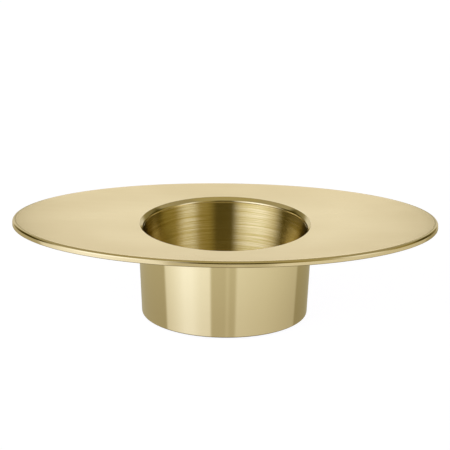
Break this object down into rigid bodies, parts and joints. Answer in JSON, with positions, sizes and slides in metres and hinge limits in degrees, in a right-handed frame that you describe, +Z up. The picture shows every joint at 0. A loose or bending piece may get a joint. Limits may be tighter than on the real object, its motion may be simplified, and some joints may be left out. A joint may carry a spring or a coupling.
{
  "type": "tea light holder",
  "caption": "Oval brass tea-light holder: a shallow oval brim with rounded edges round a tapered round cup that holds one tea light and stands on a felt pad.",
  "frame": {"origin": "on the table under the middle of the cup, at the underside of the felt pad", "axes": "+X along the brim's length, +Y along its width, +Z up out of the cup"},
  "size_m": [0.11, 0.065, 0.0251],
  "materials": {
    "satin_brass": "satin, with polished edges",
    "polished_brass": "mirror-polished outside, brushed round the inside",
    "turned_brass": "turned",
    "solder": "as flowed, wiped",
    "felt": "pressed wool felt"
  },
  "bodies": {
    "root": {"brim_plate": "satin_brass", "cup_wall": "polished_brass", "cup_floor": "turned_brass", "solder_fillet": "solder", "base_pad": "felt"}
  },
  "joints": []
}
